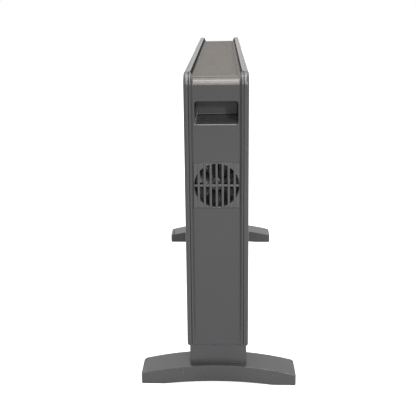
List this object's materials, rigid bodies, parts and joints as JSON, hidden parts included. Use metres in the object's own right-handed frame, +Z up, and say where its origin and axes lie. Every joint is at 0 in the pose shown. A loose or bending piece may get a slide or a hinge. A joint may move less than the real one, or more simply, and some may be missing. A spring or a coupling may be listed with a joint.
{
  "type": "convector heater",
  "caption": "slim dark grey convector heater on two arched feet, with a fan grille and a hand grip in its end",
  "frame": {"origin": "on the floor, centred under the heater", "axes": "+X along the heater, towards the end with the fan; +Y towards the rear panel; +Z up"},
  "size_m": [0.726, 0.22, 0.448],
  "materials": {
    "dark_paint": "satin",
    "dark_plastic": "fine satin grain",
    "grille_paint": "satin",
    "black_plastic": "matt",
    "zinc": "zinc plated sheet",
    "bright_aluminium": "mill finish",
    "ceramic": "unglazed ceramic",
    "lamination_steel": "varnished laminations",
    "coil_tape": "insulating tape",
    "red_lens": "clear red",
    "screw_steel": "plated"
  },
  "bodies": {
    "heater_body": {"bottom_plate": "zinc", "cap_screw_control_end": "screw_steel", "cap_screw_fan_end": "screw_steel", "control_end_cap": "dark_plastic", "cord_inlet": "black_plastic", "element_insulator_1": "ceramic", "element_insulator_2": "ceramic", "element_insulator_3": "ceramic", "element_insulator_4": "ceramic", "element_stand_control_end": "zinc", "element_stand_fan_end": "zinc", "fan_bearing_front": "zinc", "fan_bearing_rear": "zinc", "fan_bracket": "zinc", "fan_end_cap": "dark_plastic", "fan_grille": "dark_plastic", "fan_motor_coil": "coil_tape", "fan_motor_core": "lamination_steel", "fan_shroud": "black_plastic", "fan_switch_body": "black_plastic", "foot_control_end": "dark_plastic", "foot_fan_end": "dark_plastic", "foot_screw_1": "screw_steel", "foot_screw_2": "screw_steel", "foot_screw_3": "screw_steel", "foot_screw_4": "screw_steel", "front_panel": "dark_paint", "heater_element_lower": "bright_aluminium", "heater_element_upper": "bright_aluminium", "high_heat_switch_body": "black_plastic", "indicator_lens": "red_lens", "low_heat_switch_body": "black_plastic", "motor_screw_lower": "screw_steel", "motor_screw_upper": "screw_steel", "panel_screw_1": "screw_steel", "panel_screw_2": "screw_steel", "panel_screw_3": "screw_steel", "panel_screw_4": "screw_steel", "rear_heat_shield": "bright_aluminium", "rear_panel": "dark_paint", "shroud_screw_lower": "screw_steel", "shroud_screw_upper": "screw_steel", "terminal_block": "ceramic", "thermal_cutout": "black_plastic", "thermostat_body": "black_plastic", "top_grille": "grille_paint"},
    "fan_wheel": {"fan_impeller": "black_plastic", "fan_rotor_shaft": "screw_steel"},
    "thermostat_dial": {"thermostat_knob": "black_plastic", "thermostat_shaft": "zinc"},
    "low_heat_rocker_body": {"low_heat_rocker": "black_plastic"},
    "high_heat_rocker_body": {"high_heat_rocker": "black_plastic"},
    "fan_rocker_body": {"fan_rocker": "black_plastic"}
  },
  "joints": [
    {"name": "fan_spin", "type": "hinge", "parent": "heater_body", "child": "fan_wheel", "pos_m": [0.34, 0, 0.3028], "axis": [1, 0, 0], "continuous": true},
    {"name": "thermostat_turn", "type": "hinge", "parent": "heater_body", "child": "thermostat_dial", "pos_m": [-0.3482, 0, 0.3028], "axis": [-1, 0, 0], "range_deg": [0, 270]},
    {"name": "low_heat_switch", "type": "hinge", "parent": "heater_body", "child": "low_heat_rocker_body", "pos_m": [-0.3583, -0.0185, 0.236], "axis": [0, 1, 0], "range_deg": [0, 18]},
    {"name": "high_heat_switch", "type": "hinge", "parent": "heater_body", "child": "high_heat_rocker_body", "pos_m": [-0.3583, 0, 0.236], "axis": [0, 1, 0], "range_deg": [0, 18]},
    {"name": "fan_switch", "type": "hinge", "parent": "heater_body", "child": "fan_rocker_body", "pos_m": [-0.3583, 0.0185, 0.236], "axis": [0, 1, 0], "range_deg": [0, 18]}
  ]
}
